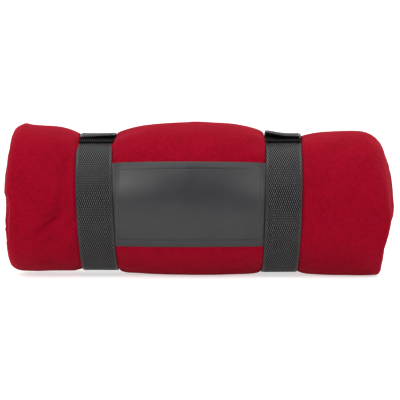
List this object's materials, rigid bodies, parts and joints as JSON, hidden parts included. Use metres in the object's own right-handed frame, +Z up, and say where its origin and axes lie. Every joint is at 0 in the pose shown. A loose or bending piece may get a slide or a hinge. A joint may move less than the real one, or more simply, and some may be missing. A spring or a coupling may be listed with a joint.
{
  "type": "rolled blanket in a strap carrier",
  "caption": "Red fleece blanket rolled up in a carrier of two webbing straps with hook-and-loop tabs, joined by a grey panel on the front.",
  "frame": {"origin": "centre of the bounding box's base, on the surface that the roll lies on", "axes": "+X along the roll to the right as seen from the front, -Y to the front where the panel is, +Z up"},
  "size_m": [0.403, 0.1636, 0.1602],
  "materials": {
    "fleece": "soft brushed red fleece with a short raised nap",
    "red_thread": "red overlock thread",
    "webbing": "dark grey woven nylon webbing, slightly shiny",
    "hook_loop": "black hook-and-loop tape",
    "panel": "dark grey coated leather-look sheet, satin, fine grain",
    "thread": "dark grey polyester sewing thread"
  },
  "bodies": {
    "roll": {"blanket": "fleece", "blanket_edge_stitching": "red_thread", "panel_cover": "panel", "panel_stitch_top": "thread", "panel_stitch_bottom": "thread", "panel_stitch_left": "thread", "panel_stitch_right": "thread", "strap_left_front": "webbing", "loop_tape_left": "hook_loop", "loop_tape_stitching_left": "thread", "panel_seam_left": "thread", "strap_right_front": "webbing", "loop_tape_right": "hook_loop", "loop_tape_stitching_right": "thread", "panel_seam_right": "thread"},
    "strap_left": {"strap_left_back": "webbing"},
    "tab_left": {"strap_left_tab": "webbing", "hook_tape_left": "hook_loop", "hook_tape_stitching_left": "thread"},
    "strap_right": {"strap_right_back": "webbing"},
    "tab_right": {"strap_right_tab": "webbing", "hook_tape_right": "hook_loop", "hook_tape_stitching_right": "thread"}
  },
  "joints": [
    {"name": "strap_left_open", "type": "hinge", "parent": "roll", "child": "strap_left", "pos_m": [-0.105, 0.05409, 0.02953], "axis": [-1, 0, 0], "range_deg": [0, 70]},
    {"name": "tab_left_peel", "type": "hinge", "parent": "strap_left", "child": "tab_left", "pos_m": [-0.105, 0.06114, 0.1093], "axis": [-1, 0, 0], "range_deg": [0, 110]},
    {"name": "strap_right_open", "type": "hinge", "parent": "roll", "child": "strap_right", "pos_m": [0.08483, 0.05409, 0.02883], "axis": [-1, 0, 0], "range_deg": [0, 70]},
    {"name": "tab_right_peel", "type": "hinge", "parent": "strap_right", "child": "tab_right", "pos_m": [0.08691, 0.06114, 0.1086], "axis": [-1, 0, 0], "range_deg": [0, 110]}
  ]
}
